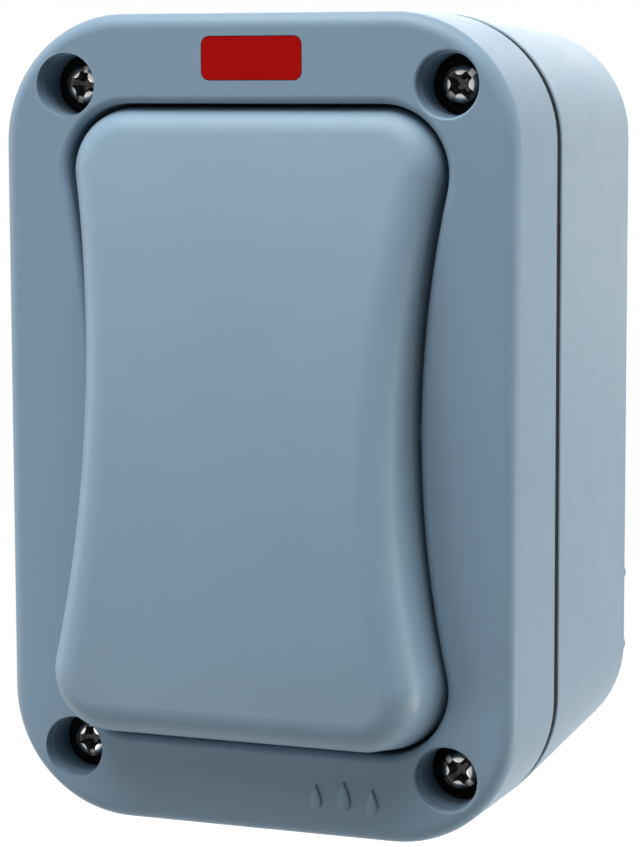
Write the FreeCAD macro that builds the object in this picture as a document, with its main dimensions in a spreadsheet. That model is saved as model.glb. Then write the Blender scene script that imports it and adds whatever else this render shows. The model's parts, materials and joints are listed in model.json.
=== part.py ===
import FreeCAD, Part
import math
import os
from types import SimpleNamespace

import Sketcher
from FreeCAD import Placement, Rotation, Vector

# Outdoor weatherproof switch: drafted back box, sealed front cover, hourglass rocker with an
# indicator, and a double-pole switch module behind the rocker. Lengths are in millimetres.
# X runs to the right, Z up and the front faces -Y; the wall touches the back face at Y = 0.
# A "reach" is a distance in front of the wall.

# Driving sizes
SIZES = {
    # Outline
    "body_width": 80.0,
    "body_height": 120.0,
    "corner_radius": 18.9,
    # Back box
    "box_depth": 45.3,
    "box_draft": 2.2,
    "box_wall": 3.2,
    "box_floor": 3.0,
    "box_back_round": 2.2,
    "rim_round": 0.35,
    "boss_radius": 4.4,
    "nib_radius": 1.75,
    "nib_upper": 29.7,
    "nib_lower": 41.5,
    "lip_height": 1.3,
    "lip_thickness": 1.6,
    "lip_long": 50.0,
    "lip_short": 28.0,
    "fixing_spacing_x": 40.0,
    "fixing_spacing_z": 88.0,
    "fixing_radius": 2.3,
    "collar_radius": 4.6,
    "collar_height": 2.0,
    "entry_radius": 10.25,
    "entry_seat_radius": 13.5,
    "entry_seat_depth": 2.8,
    "entry_wall": 4.2,
    "entry_reach": 22.0,
    "knockout_groove": 1.0,
    # Seal between box and cover
    "seal_gap": 2.2,
    "seal_recess": 0.25,
    "seal_width": 2.4,
    # Front cover
    "cover_depth": 19.5,
    "cover_wall": 2.6,
    "cover_front": 3.0,
    "cover_edge_round": 2.2,
    # Cover screws
    "screw_inset_x": 10.35,
    "screw_inset_z": 10.3,
    "screw_radius": 1.5,
    "screw_length": 21.5,
    "screw_head_radius": 2.8,
    "screw_head_height": 2.4,
    "screw_head_round": 1.1,
    "screw_slot_width": 1.1,
    "screw_slot_depth": 0.85,
    "screw_cross_span": 4.6,
    "screw_cross_width": 1.4,
    "screw_cross_depth": 1.9,
    "screw_seat_depth": 8.0,
    "screw_clearance": 0.25,
    "bore_radius": 4.7,
    "bore_step": 0.25,
    "bore_lip_round": 0.4,
    "bore_step_depth": 2.0,
    "tower_radius": 6.4,
    "insert_radius": 2.1,
    "insert_length": 9.0,
    # Rocker well
    "well_end_margin": 13.0,
    "well_side_margin": 14.4,
    "well_corner": 10.0,
    "well_flare": 4.39336,
    "well_depth": 13.8,
    "well_floor": 2.2,
    "well_wall": 2.2,
    "well_lip_round": 1.2,
    "floor_opening_width": 26.0,
    "floor_opening_height": 45.0,
    # Rocker
    "rocker_gap": 0.6,
    "rocker_proud": 9.6,
    "rocker_draft": 0.9,
    "rocker_crown": 300.0,
    "rocker_edge_round": 5.0,
    "rocker_skin": 2.8,
    "rocker_skirt": 2.5,
    "rocker_tilt": 7.0,
    "pivot_setback": 5.0,
    "trunnion_radius": 2.0,
    "trunnion_grip": 2.3,
    "socket_wall": 2.2,
    "running_clearance": 0.05,
    "peg_width": 14.0,
    "peg_thickness": 4.0,
    "peg_offset": 13.0,
    # Rubber boot
    "boot_sheet": 1.2,
    "boot_clearance": 0.25,
    "boot_flange_width": 30.0,
    "boot_flange_height": 49.0,
    "boot_base_width": 24.0,
    "boot_base_height": 43.0,
    "boot_margin": 1.0,
    # Switch module
    "frame_width": 44.0,
    "frame_height": 69.0,
    "frame_plate": 2.4,
    "module_screw_offset": 30.0,
    "module_boss_radius": 3.5,
    "pilot_radius": 1.25,
    "pilot_depth": 2.8,
    "housing_width": 37.0,
    "housing_height": 52.0,
    "housing_wall": 2.9,
    "housing_base": 2.0,
    "cavity_height": 33.0,
    "barrier_thickness": 1.8,
    "barrier_height": 10.6,
    "pole_offset": 7.5,
    "dolly_setback": 3.4,
    "dolly_face": 8.0,
    "dolly_width": 17.0,
    "dolly_height": 32.0,
    "dolly_tip": 2.5,
    "dolly_hub_radius": 3.4,
    "dolly_pin_radius": 1.5,
    "stem_radius": 3.0,
    "stem_length": 7.0,
    "socket_radius": 1.9,
    "socket_depth": 6.5,
    "plunger_radius": 1.8,
    "plunger_tip_radius": 1.5,
    "plunger_reach": 10.0,
    "plunger_length": 4.5,
    "spring_wire": 0.28,
    "spring_turns": 3.5,
    # Contacts and terminals
    "bar_width": 5.0,
    "bar_length": 24.4,
    "bar_thickness": 1.6,
    "bar_clearance": 0.1,
    "bar_tilt": 6.0,
    "crest_radius": 0.8,
    "post_height": 2.4,
    "strip_thickness": 1.0,
    "tip_radius": 1.5,
    "tip_height": 0.5,
    "tip_offset": 10.5,
    "fixed_tip_height": 0.55,
    "block_width": 8.0,
    "block_length": 6.0,
    "block_height": 9.0,
    "block_offset": 20.9,
    "pocket_clearance": 0.2,
    "tunnel_radius": 2.0,
    "tunnel_rise": 5.0,
    "clamp_screw_radius": 1.6,
    # Indicator
    "lens_width": 15.5,
    "lens_height": 6.2,
    "lens_corner": 1.2,
    "lens_inset": 6.5,
    "lens_depth": 6.0,
    "lens_flange": 1.2,
    "lens_flange_depth": 1.4,
    "lens_clearance": 0.1,
    "lamp_radius": 2.1,
    "lamp_length": 9.2,
    "lamp_cap": 1.6,
    "lamp_setback": 9.5,
    "lead_radius": 0.7,
    "lead_bend": 1.2,
    "lead_turn": 2.5,
    # Earth terminal
    "earth_side": 8.0,
    "earth_height": 10.0,
    "earth_inset": 14.0,
}

doc = FreeCAD.newDocument("outdoor_switch")
sheet = doc.addObject("Spreadsheet::Sheet", "sizes")
for row, (alias, number) in enumerate(SIZES.items(), 1):
    sheet.set(f"A{row}", alias)
    sheet.set(f"B{row}", str(number))
    sheet.setAlias(f"B{row}", alias)
doc.recompute()


class Size:
    """A length together with the sheet formula that gives it."""

    def __init__(self, value, formula):
        self.value = value
        self.formula = formula

    def __add__(self, other):
        other = as_size(other)
        return Size(self.value + other.value, f"({self.formula} + {other.formula})")

    def __sub__(self, other):
        other = as_size(other)
        return Size(self.value - other.value, f"({self.formula} - {other.formula})")

    def __mul__(self, other):
        other = as_size(other)
        return Size(self.value * other.value, f"({self.formula} * {other.formula})")

    def __truediv__(self, other):
        other = as_size(other)
        return Size(self.value / other.value, f"({self.formula} / {other.formula})")

    def __rmul__(self, other):
        return self * other

    def __neg__(self):
        return self * -1


def as_size(number):
    """A plain number as a Size, so that both can be used in one formula."""
    if isinstance(number, Size):
        return number
    return Size(float(number), f"({float(number)})")


def sine(angle):
    return Size(math.sin(math.radians(angle.value)), f"sin({angle.formula})")


def cosine(angle):
    return Size(math.cos(math.radians(angle.value)), f"cos({angle.formula})")


s = SimpleNamespace(**{alias: Size(number, f"sizes.{alias}") for alias, number in SIZES.items()})

# Reaches and positions that several pieces share
cover_rim = s.box_depth + s.seal_gap
face = cover_rim + s.cover_depth
inner_face = face - s.cover_front
pivot = face - s.pivot_setback
well_bottom = face - s.well_depth
floor_back = well_bottom - s.well_floor
frame_front = floor_back - s.boot_sheet
housing_front = frame_front - s.frame_plate
dolly_pivot = housing_front - s.dolly_setback
bar_stack = s.plunger_reach + s.plunger_tip_radius + s.bar_thickness + s.bar_clearance
bar_pivot = dolly_pivot - bar_stack
strip_front = bar_pivot - s.post_height
housing_floor = strip_front - s.strip_thickness
housing_back = housing_floor - s.housing_base
tunnel_reach = housing_floor + s.tunnel_rise
screw_seat = face - s.screw_seat_depth
lens_back = face - s.lens_depth
lamp_reach = face - s.lamp_setback
half_width = s.body_width / 2
half_height = s.body_height / 2
screw_x = half_width - s.screw_inset_x
screw_z = half_height - s.screw_inset_z
screw_spacing_x = screw_x * 2
screw_spacing_z = screw_z * 2
well_height = s.body_height - s.well_end_margin * 2
well_waist = s.body_width - s.well_side_margin * 2
side_reach = well_height / 2 - s.well_corner
well_side_radius = (side_reach * side_reach + s.well_flare * s.well_flare) / (s.well_flare * 2)
lens_rise = half_height - s.lens_inset
earth_offset = half_width - s.earth_inset
rocker_face = s.rocker_proud + s.pivot_setback
rocker_half_waist = well_waist / 2 - s.rocker_gap
rocker_half_height = well_height / 2 - s.rocker_gap
cap_space = s.boot_sheet + s.boot_clearance * 2


# Building helpers
def bind(target, path, size):
    """Ties one property to a formula over the sheet."""
    target.setExpression(path, as_size(size).formula)


def new_body(label, reach=None, tilt=None):
    """A body, moved to a pivot in front of the wall and turned about X where that is asked for."""
    body = doc.addObject("PartDesign::Body", label)
    body.Label = label
    if reach is not None:
        body.Placement = Placement(Vector(), Rotation(Vector(1, 0, 0), 1))
        bind(body, "Placement.Base.y", -reach)
        bind(body, "Placement.Rotation.Angle", tilt)
    return body


def origin_plane(body, plane):
    return next(item for item in body.Origin.OriginFeatures if item.Role == plane)


def new_sketch(body, name, level=0, plane="XZ_Plane"):
    """A sketch on an origin plane of the body, moved along the plane's normal."""
    sketch = body.newObject("Sketcher::SketchObject", f"{body.Label}_{name}")
    sketch.AttachmentSupport = [(origin_plane(body, plane), "")]
    sketch.MapMode = "FlatFace"
    bind(sketch, "AttachmentOffset.Base.z", level)
    return sketch


def dimension(sketch, kind, references, size):
    size = as_size(size)
    index = sketch.addConstraint(Sketcher.Constraint(kind, *references, size.value))
    sketch.setExpression(f"Constraints[{index}]", size.formula)


def pin(sketch, geometry, point, across, up):
    """Fixes a point of a sketch by its two distances from the origin."""
    for kind, value in (("DistanceX", across), ("DistanceY", up)):
        dimension(sketch, kind, (-1, 1, geometry, point), value)


def join_tangent(sketch, joints):
    for first, first_end, second, second_end in joints:
        sketch.addConstraint(Sketcher.Constraint("Tangent", first, first_end, second, second_end))


def arc(centre_x, centre_y, radius, start, end):
    circle = Part.Circle(Vector(centre_x, centre_y, 0), Vector(0, 0, 1), radius)
    return Part.ArcOfCircle(circle, math.radians(start), math.radians(end))


def line(start, end):
    return Part.LineSegment(Vector(*start, 0), Vector(*end, 0))


def draw_circle(sketch, across, up, radius):
    across, up, radius = as_size(across), as_size(up), as_size(radius)
    circle = Part.Circle(Vector(across.value, up.value, 0), Vector(0, 0, 1), radius.value)
    index = sketch.addGeometry(circle, False)
    pin(sketch, index, 3, across, up)
    dimension(sketch, "Radius", (index,), radius)


def draw_polygon(sketch, corners):
    """A closed outline of straight lines through the given corners."""
    corners = [(as_size(across), as_size(up)) for across, up in corners]
    count = len(corners)
    first = sketch.GeometryCount
    points = [(across.value, up.value) for across, up in corners]
    for number in range(count):
        sketch.addGeometry(line(points[number], points[(number + 1) % count]), False)
    for number in range(count):
        following = first + (number + 1) % count
        sketch.addConstraint(Sketcher.Constraint("Coincident", first + number, 2, following, 1))
    for number, (across, up) in enumerate(corners):
        pin(sketch, first + number, 1, across, up)


def draw_rectangle(sketch, width, height, across=0, up=0):
    half_w, half_h = as_size(width) / 2, as_size(height) / 2
    across, up = as_size(across), as_size(up)
    draw_polygon(sketch, [
        (across - half_w, up - half_h),
        (across + half_w, up - half_h),
        (across + half_w, up + half_h),
        (across - half_w, up + half_h),
    ])


def draw_rounded(sketch, width, height, radius, up=0):
    """A rectangle with four equal rounded corners, centred on the upright axis."""
    width, height, radius, up = (as_size(item) for item in (width, height, radius, up))
    rad = radius.value
    w, h, mid = width.value / 2, height.value / 2, up.value
    cx, cy = w - rad, h - rad
    first = sketch.GeometryCount
    for item in (
        arc(cx, mid + cy, rad, 0, 90),
        line((cx, mid + h), (-cx, mid + h)),
        arc(-cx, mid + cy, rad, 90, 180),
        line((-w, mid + cy), (-w, mid - cy)),
        arc(-cx, mid - cy, rad, 180, 270),
        line((-cx, mid - h), (cx, mid - h)),
        arc(cx, mid - cy, rad, 270, 360),
        line((w, mid - cy), (w, mid + cy)),
    ):
        sketch.addGeometry(item, False)
    join_tangent(sketch, [(first + n, 2, first + (n + 1) % 8, 1) for n in range(8)])
    for kind, number in (("Horizontal", 1), ("Vertical", 3), ("Horizontal", 5), ("Vertical", 7)):
        sketch.addConstraint(Sketcher.Constraint(kind, first + number))
    for number in (2, 4, 6):
        sketch.addConstraint(Sketcher.Constraint("Equal", first, first + number))
    dimension(sketch, "Radius", (first,), radius)
    pin(sketch, first, 3, width / 2 - radius, up + height / 2 - radius)
    pin(sketch, first + 4, 3, radius - width / 2, up + radius - height / 2)


def draw_hourglass(sketch, inset):
    """The rocker's outline: level ends, round corners and hollow sides, inset from the well."""
    inset = as_size(inset)
    half = well_height / 2 - inset
    corner = s.well_corner - inset
    side = well_side_radius + inset
    far = well_waist / 2 + well_side_radius
    rad, big, out = corner.value, side.value, far.value
    top = half.value
    cy = top - rad
    cx = out - math.sqrt((big + rad) ** 2 - cy ** 2)
    lean = math.degrees(math.atan2(cy, out - cx))
    for item in (
        arc(cx, cy, rad, -lean, 90),
        line((cx, top), (-cx, top)),
        arc(-cx, cy, rad, 90, 180 + lean),
        arc(-out, 0, big, -lean, lean),
        arc(-cx, -cy, rad, 180 - lean, 270),
        line((-cx, -top), (cx, -top)),
        arc(cx, -cy, rad, -90, lean),
        arc(out, 0, big, 180 - lean, 180 + lean),
    ):
        sketch.addGeometry(item, False)
    join_tangent(sketch, [
        (0, 2, 1, 1), (1, 2, 2, 1), (2, 2, 3, 2), (3, 1, 4, 1),
        (4, 2, 5, 1), (5, 2, 6, 1), (6, 2, 7, 2), (7, 1, 0, 1),
    ])
    for number in (1, 5):
        sketch.addConstraint(Sketcher.Constraint("Horizontal", number))
    for number in (2, 4, 6):
        sketch.addConstraint(Sketcher.Constraint("Equal", 0, number))
    sketch.addConstraint(Sketcher.Constraint("Equal", 3, 7))
    dimension(sketch, "Radius", (0,), corner)
    dimension(sketch, "Radius", (7,), side)
    pin(sketch, 7, 3, far, 0)
    pin(sketch, 3, 3, -far, 0)
    dimension(sketch, "DistanceY", (-1, 1, 1, 1), half)
    dimension(sketch, "DistanceY", (5, 1, -1, 1), half)


def draw_corner_circles(sketch, spacing_x, spacing_z, radius):
    """Four equal circles on a rectangle centred on the origin."""
    for across in (-1, 1):
        for up in (-1, 1):
            draw_circle(sketch, spacing_x / 2 * across, spacing_z / 2 * up, radius)


def draw_crown(sketch, centre, radius, half_span, back):
    """The side view of a crowned slab: a shallow arc, closed by straight lines at its back."""
    centre, radius, half_span, back = (as_size(item) for item in (centre, radius, half_span, back))
    mid, rad, half = centre.value, radius.value, half_span.value
    lean = math.degrees(math.asin(half / rad))
    edge = mid - math.sqrt(rad ** 2 - half ** 2)
    for item in (
        arc(mid, 0, rad, 180 - lean, 180 + lean),
        line((edge, -half), (back.value, -half)),
        line((back.value, -half), (back.value, half)),
        line((back.value, half), (edge, half)),
    ):
        sketch.addGeometry(item, False)
    for first, first_end, second, second_end in ((0, 2, 1, 1), (1, 2, 2, 1), (2, 2, 3, 1), (3, 2, 0, 1)):
        sketch.addConstraint(Sketcher.Constraint("Coincident", first, first_end, second, second_end))
    pin(sketch, 0, 3, centre, 0)
    dimension(sketch, "Radius", (0,), radius)
    pin(sketch, 2, 1, back, -half_span)
    pin(sketch, 2, 2, back, half_span)
    for number in (1, 3):
        sketch.addConstraint(Sketcher.Constraint("Horizontal", number))


def feature(kind, sketch, length, reverse=False, both=False):
    """A pad or a pocket from a sketch; it must change the body's volume the way its name says."""
    body = sketch.getParentGeoFeatureGroup()
    doc.recompute()
    before = body.Shape.Volume if body.Tip and not body.Shape.isNull() else 0.0
    item = body.newObject(f"PartDesign::{kind}", f"{sketch.Name}_{kind.lower()}")
    item.Profile = sketch
    item.Reversed = reverse
    if both:
        item.Midplane = True
    bind(item, "Length", length)
    doc.recompute()
    change = body.Shape.Volume - before
    if (kind == "Pad") != (change > 0):
        raise RuntimeError(f"{item.Name} changed the volume by {change:.2f}")
    return item


def loft(kind, first, second):
    """A straight-sided loft between two sketches of one body."""
    body = first.getParentGeoFeatureGroup()
    item = body.newObject(f"PartDesign::{kind}", f"{first.Name}_loft")
    item.Profile = first
    item.Sections = [second]
    item.Ruled = True
    doc.recompute()
    return item


def soften(base, radius, wanted, kind="Fillet"):
    """Rounds or chamfers the edges of a feature that a test picks out."""
    doc.recompute()
    names = [f"Edge{n}" for n, edge in enumerate(base.Shape.Edges, 1) if wanted(edge)]
    item = base.getParentGeoFeatureGroup().newObject(f"PartDesign::{kind}", f"{base.Name}_soft")
    item.Base = (base, names)
    bind(item, "Radius" if kind == "Fillet" else "Size", radius)
    doc.recompute()
    return item


def mirror(body, originals):
    item = body.newObject("PartDesign::Mirrored", f"{originals[0].Name}_mirror")
    item.Originals = originals
    item.MirrorPlane = (origin_plane(body, "YZ_Plane"), "")
    body.Tip = item
    doc.recompute()
    return item


def on_reach(reach, half_span=None):
    """A test for edges in one plane parallel to the wall, within a height from the middle."""
    def test(edge):
        bounds = edge.BoundBox
        flat = abs(bounds.YMin + reach.value) < 1e-4 and abs(bounds.YMax + reach.value) < 1e-4
        return flat and (half_span is None or max(abs(bounds.ZMin), abs(bounds.ZMax)) < half_span.value)
    return test


def round_edge(radius, reach):
    """A test for whole circles of one radius in a plane parallel to the wall."""
    flat = on_reach(reach)

    def test(edge):
        size = edge.BoundBox
        return flat(edge) and abs(size.XLength - radius.value * 2) < 1e-3 and abs(size.ZLength - size.XLength) < 1e-3
    return test


def block(name, across, reach, up):
    """A rectangular block between two positions on each axis."""
    item = doc.addObject("Part::Box", name)
    for axis, prop, (low, high) in (("x", "Length", across), ("z", "Height", up)):
        bind(item, prop, as_size(high) - low)
        bind(item, f"Placement.Base.{axis}", low)
    bind(item, "Width", as_size(reach[1]) - reach[0])
    bind(item, "Placement.Base.y", -as_size(reach[1]))
    return item


def rod(name, along, across, reach, up, radius, length):
    """A round rod along X, Y or Z. Its start point is given; along Y it runs towards the front."""
    item = doc.addObject("Part::Cylinder", name)
    turn = {"X": Rotation(Vector(0, 1, 0), 90), "Y": Rotation(Vector(1, 0, 0), 90), "Z": Rotation()}
    item.Placement = Placement(Vector(), turn[along])
    bind(item, "Radius", radius)
    bind(item, "Height", length)
    for axis, value in (("x", across), ("y", -as_size(reach)), ("z", up)):
        bind(item, f"Placement.Base.{axis}", value)
    return item


def fuse(name, *items):
    item = doc.addObject("Part::MultiFuse", name)
    item.Shapes = list(items)
    item.Label = name
    return item


def cut(name, base, *tools):
    item = doc.addObject("Part::Cut", name)
    item.Base = base
    item.Tool = tools[0] if len(tools) == 1 else fuse(f"{name}_tools", *tools)
    item.Label = name
    return item


def group(label, shapes):
    """Several equal pieces as one named sub-part."""
    item = doc.addObject("Part::Feature", label)
    item.Label = label
    item.Shape = Part.makeCompound(shapes)
    item.Placement = Placement()
    return item


def copies(master, places):
    """Copies of a master piece, each moved from the master's own origin to a place."""
    doc.recompute()
    shapes = []
    for place in places:
        shape = master.Shape.copy()
        shape.Placement = place.multiply(shape.Placement)
        shapes.append(shape)
    return shapes


# Back box
def make_rear_box():
    body = new_body("rear_box")
    back = new_sketch(body, "back_outline")
    draw_rounded(back, s.body_width - s.box_draft * 2, s.body_height - s.box_draft * 2,
                 s.corner_radius - s.box_draft)
    rim = new_sketch(body, "rim_outline", s.box_depth)
    draw_rounded(rim, s.body_width, s.body_height, s.corner_radius)
    outside = loft("AdditiveLoft", back, rim)
    back_round = soften(outside, s.box_back_round, on_reach(as_size(0)))
    soften(back_round, s.rim_round, on_reach(s.box_depth))

    inset = s.box_draft * (as_size(1) - s.box_floor / s.box_depth) + s.box_wall
    floor = new_sketch(body, "floor_outline", s.box_floor)
    draw_rounded(floor, s.body_width - inset * 2, s.body_height - inset * 2, s.corner_radius - inset)
    mouth = new_sketch(body, "mouth_outline", s.box_depth)
    draw_rounded(mouth, s.body_width - s.box_wall * 2, s.body_height - s.box_wall * 2,
                 s.corner_radius - s.box_wall)
    loft("SubtractiveLoft", floor, mouth)

    bosses = new_sketch(body, "bosses", s.box_floor)
    draw_corner_circles(bosses, screw_spacing_x, screw_spacing_z, s.boss_radius)
    feature("Pad", bosses, s.box_depth - s.box_floor)
    inserts = new_sketch(body, "insert_holes", s.box_depth)
    draw_corner_circles(inserts, screw_spacing_x, screw_spacing_z, s.insert_radius)
    feature("Pocket", inserts, s.insert_length)

    # Lips that stand inside the seal and keep it in its place
    lip_edge = s.cover_wall + s.pocket_clearance
    lips = new_sketch(body, "lips", s.box_depth - s.lip_height * 3)
    for side in (-1, 1):
        mid_x = s.body_width / 2 - lip_edge - s.lip_thickness / 2
        mid_z = s.body_height / 2 - lip_edge - s.lip_thickness / 2
        draw_rectangle(lips, s.lip_thickness, s.lip_long, mid_x * side, 0)
        draw_rectangle(lips, s.lip_short, s.lip_thickness, 0, mid_z * side)
    feature("Pad", lips, s.lip_height * 4)

    # Wall fixings: collars inside, holes through the back
    collars = new_sketch(body, "collars", s.box_floor)
    draw_corner_circles(collars, s.fixing_spacing_x, s.fixing_spacing_z, s.collar_radius)
    feature("Pad", collars, s.collar_height)
    fixings = new_sketch(body, "fixings", s.box_floor + s.collar_height)
    draw_corner_circles(fixings, s.fixing_spacing_x, s.fixing_spacing_z, s.fixing_radius)
    feature("Pocket", fixings, s.box_floor + s.collar_height)

    # Cable entry below, with flat seats on both sides of the wall
    seat = s.entry_seat_depth - half_height
    inner_seat = new_sketch(body, "entry_inner_seat", seat, "XY_Plane")
    draw_circle(inner_seat, 0, -s.entry_reach, s.entry_seat_radius)
    feature("Pad", inner_seat, s.entry_wall)
    outer_seat = new_sketch(body, "entry_outer_seat", seat, "XY_Plane")
    draw_circle(outer_seat, 0, -s.entry_reach, s.entry_seat_radius)
    feature("Pocket", outer_seat, s.entry_seat_depth + 1)
    entry = new_sketch(body, "entry", seat, "XY_Plane")
    draw_circle(entry, 0, -s.entry_reach, s.entry_radius)
    feature("Pocket", entry, s.entry_wall, reverse=True)

    # Knock-out above: a ring groove that leaves a thin web
    knockout = new_sketch(body, "knockout", half_height - s.entry_seat_depth + s.knockout_groove / 2, "XY_Plane")
    draw_circle(knockout, 0, -s.entry_reach, s.entry_radius)
    draw_circle(knockout, 0, -s.entry_reach, s.entry_radius - s.knockout_groove)
    feature("Pocket", knockout, s.entry_seat_depth, reverse=True)

    # Small nibs in the rounded back edge, low on both sides
    nibs = new_sketch(body, "nibs")
    nib_x = s.body_width / 2 - s.box_draft - s.nib_radius - 0.2
    for side in (-1, 1):
        for drop in (s.nib_upper, s.nib_lower):
            draw_circle(nibs, nib_x * side, -drop, s.nib_radius)
    feature("Pad", nibs, s.box_floor)
    return body


# Seal between box and cover
def make_cover_gasket():
    body = new_body("cover_gasket")
    ring = new_sketch(body, "ring", s.box_depth)
    for inset in (s.seal_recess, s.seal_recess + s.seal_width):
        draw_rounded(ring, s.body_width - inset * 2, s.body_height - inset * 2, s.corner_radius - inset)
    feature("Pad", ring, s.seal_gap)
    eyes = new_sketch(body, "eyes", s.box_depth)
    draw_corner_circles(eyes, screw_spacing_x, screw_spacing_z, (s.boss_radius + s.tower_radius) / 2)
    feature("Pad", eyes, s.seal_gap)
    holes = new_sketch(body, "screw_holes", cover_rim)
    draw_corner_circles(holes, screw_spacing_x, screw_spacing_z, s.screw_radius + s.screw_clearance)
    feature("Pocket", holes, s.seal_gap)
    return body


# Front cover
def make_front_cover():
    body = new_body("front_cover")
    outline = new_sketch(body, "outline", cover_rim)
    draw_rounded(outline, s.body_width, s.body_height, s.corner_radius)
    outside = feature("Pad", outline, s.cover_depth)
    front_round = soften(outside, s.cover_edge_round, on_reach(face))
    soften(front_round, s.rim_round, on_reach(cover_rim))
    cavity = new_sketch(body, "cavity", inner_face)
    draw_rounded(cavity, s.body_width - s.cover_wall * 2, s.body_height - s.cover_wall * 2,
                 s.corner_radius - s.cover_wall)
    feature("Pocket", cavity, inner_face - cover_rim)

    # Well and screw towers
    tub = new_sketch(body, "tub", floor_back)
    draw_hourglass(tub, -s.well_wall)
    feature("Pad", tub, inner_face - floor_back)
    towers = new_sketch(body, "towers", cover_rim)
    draw_corner_circles(towers, screw_spacing_x, screw_spacing_z, s.tower_radius)
    feature("Pad", towers, inner_face - cover_rim)
    well = new_sketch(body, "well", face)
    draw_hourglass(well, 0)
    hollow = feature("Pocket", well, s.well_depth)
    soften(hollow, s.well_lip_round, on_reach(face, well_height / 2 + 1))
    opening = new_sketch(body, "floor_opening", well_bottom)
    draw_rounded(opening, s.floor_opening_width, s.floor_opening_height, s.well_corner / 2)
    feature("Pocket", opening, s.well_floor)

    # Stepped screw bores
    mouths = new_sketch(body, "bore_mouths", face)
    draw_corner_circles(mouths, screw_spacing_x, screw_spacing_z, s.bore_radius)
    mouth_cut = feature("Pocket", mouths, s.bore_step_depth)
    soften(mouth_cut, s.bore_lip_round, round_edge(s.bore_radius, face))
    bores = new_sketch(body, "bores", face)
    draw_corner_circles(bores, screw_spacing_x, screw_spacing_z, s.bore_radius - s.bore_step)
    feature("Pocket", bores, s.screw_seat_depth)
    shafts = new_sketch(body, "screw_holes", screw_seat)
    draw_corner_circles(shafts, screw_spacing_x, screw_spacing_z, s.screw_radius + s.screw_clearance)
    feature("Pocket", shafts, screw_seat - cover_rim)

    # Lens window
    window = new_sketch(body, "window", face)
    draw_rounded(window, s.lens_width + s.lens_clearance * 2, s.lens_height + s.lens_clearance * 2,
                 s.lens_corner + s.lens_clearance, lens_rise)
    feature("Pocket", window, s.cover_front)

    # Closed sockets for the rocker's trunnions
    socket_end = well_waist / 2 + s.trunnion_grip + s.rocker_gap / 4
    boss = new_sketch(body, "socket_boss", well_waist / 2 + s.well_wall / 2, "YZ_Plane")
    draw_circle(boss, -pivot, 0, s.trunnion_radius + s.socket_wall)
    boss_pad = feature("Pad", boss, socket_end + s.socket_wall - well_waist / 2 - s.well_wall / 2)
    socket = new_sketch(body, "socket", socket_end, "YZ_Plane")
    draw_circle(socket, -pivot, 0, s.trunnion_radius + s.running_clearance)
    socket_cut = feature("Pocket", socket, s.trunnion_grip + s.rocker_gap)
    mirror(body, [boss_pad, socket_cut])

    # Bosses for the module's screws
    pads = new_sketch(body, "module_bosses", frame_front)
    pilots = new_sketch(body, "module_pilots", frame_front)
    for side in (-1, 1):
        draw_circle(pads, 0, s.module_screw_offset * side, s.module_boss_radius)
        draw_circle(pilots, 0, s.module_screw_offset * side, s.pilot_radius)
    feature("Pad", pads, s.boot_sheet)
    feature("Pocket", pilots, s.pilot_depth, reverse=True)
    return body


# Rocker
def make_rocker():
    body = new_body("rocker", pivot, -s.rocker_tilt)
    skirt = new_sketch(body, "skirt_outline", -s.rocker_skirt)
    draw_hourglass(skirt, s.rocker_gap)
    front = new_sketch(body, "front_outline", rocker_face + 1)
    draw_hourglass(front, s.rocker_gap + s.rocker_draft)
    loft("AdditiveLoft", skirt, front)

    # Crowned face: everything in front of a shallow arc is taken away
    crown_centre = s.rocker_crown - rocker_face
    crown = new_sketch(body, "crown", 0, "YZ_Plane")
    draw_crown(crown, crown_centre, s.rocker_crown, well_height / 2, -(rocker_face + 6))
    face_cut = feature("Pocket", crown, s.body_width, both=True)

    def on_crown(edge):
        samples = [edge.valueAt(edge.FirstParameter + part * (edge.LastParameter - edge.FirstParameter))
                   for part in (0.1, 0.5, 0.9)]
        offsets = [abs(math.hypot(point.y - crown_centre.value, point.z) - s.rocker_crown.value)
                   for point in samples]
        return max(offsets) < 1e-3

    soften(face_cut, s.rocker_edge_round, on_crown)

    # Hollow back with an even skin
    hollow = new_sketch(body, "hollow", 0, "YZ_Plane")
    draw_crown(hollow, crown_centre, s.rocker_crown - s.rocker_skin, rocker_half_height - s.rocker_skin,
               s.rocker_skirt + 1)
    feature("Pocket", hollow, (rocker_half_waist - s.rocker_skin) * 2, both=True)

    # Push pegs
    peg_end = dolly_pivot + s.dolly_face + cap_space - pivot
    pegs = new_sketch(body, "pegs", peg_end)
    for side in (-1, 1):
        draw_rectangle(pegs, s.peg_width, s.peg_thickness, 0, s.peg_offset * side)
    feature("Pad", pegs, rocker_face - s.rocker_skin / 2 - peg_end)

    # Trunnions
    stub = new_sketch(body, "trunnion", rocker_half_waist - s.rocker_skin / 2, "YZ_Plane")
    draw_circle(stub, 0, 0, s.trunnion_radius)
    stub_pad = feature("Pad", stub, s.rocker_skin / 2 + s.rocker_gap + s.trunnion_grip)
    mirror(body, [stub_pad])
    return body


# Rubber boot under the rocker
def tilted_sketch(body, name, level):
    """A sketch in front of the dolly's axis, leaning as the dolly leans at rest."""
    sketch = new_sketch(body, name)
    sketch.AttachmentOffset = Placement(Vector(), Rotation(Vector(1, 0, 0), -1))
    bind(sketch, "AttachmentOffset.Base.y", sine(s.rocker_tilt) * level)
    bind(sketch, "AttachmentOffset.Base.z", dolly_pivot + cosine(s.rocker_tilt) * level)
    bind(sketch, "AttachmentOffset.Rotation.Angle", -s.rocker_tilt)
    return sketch


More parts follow.
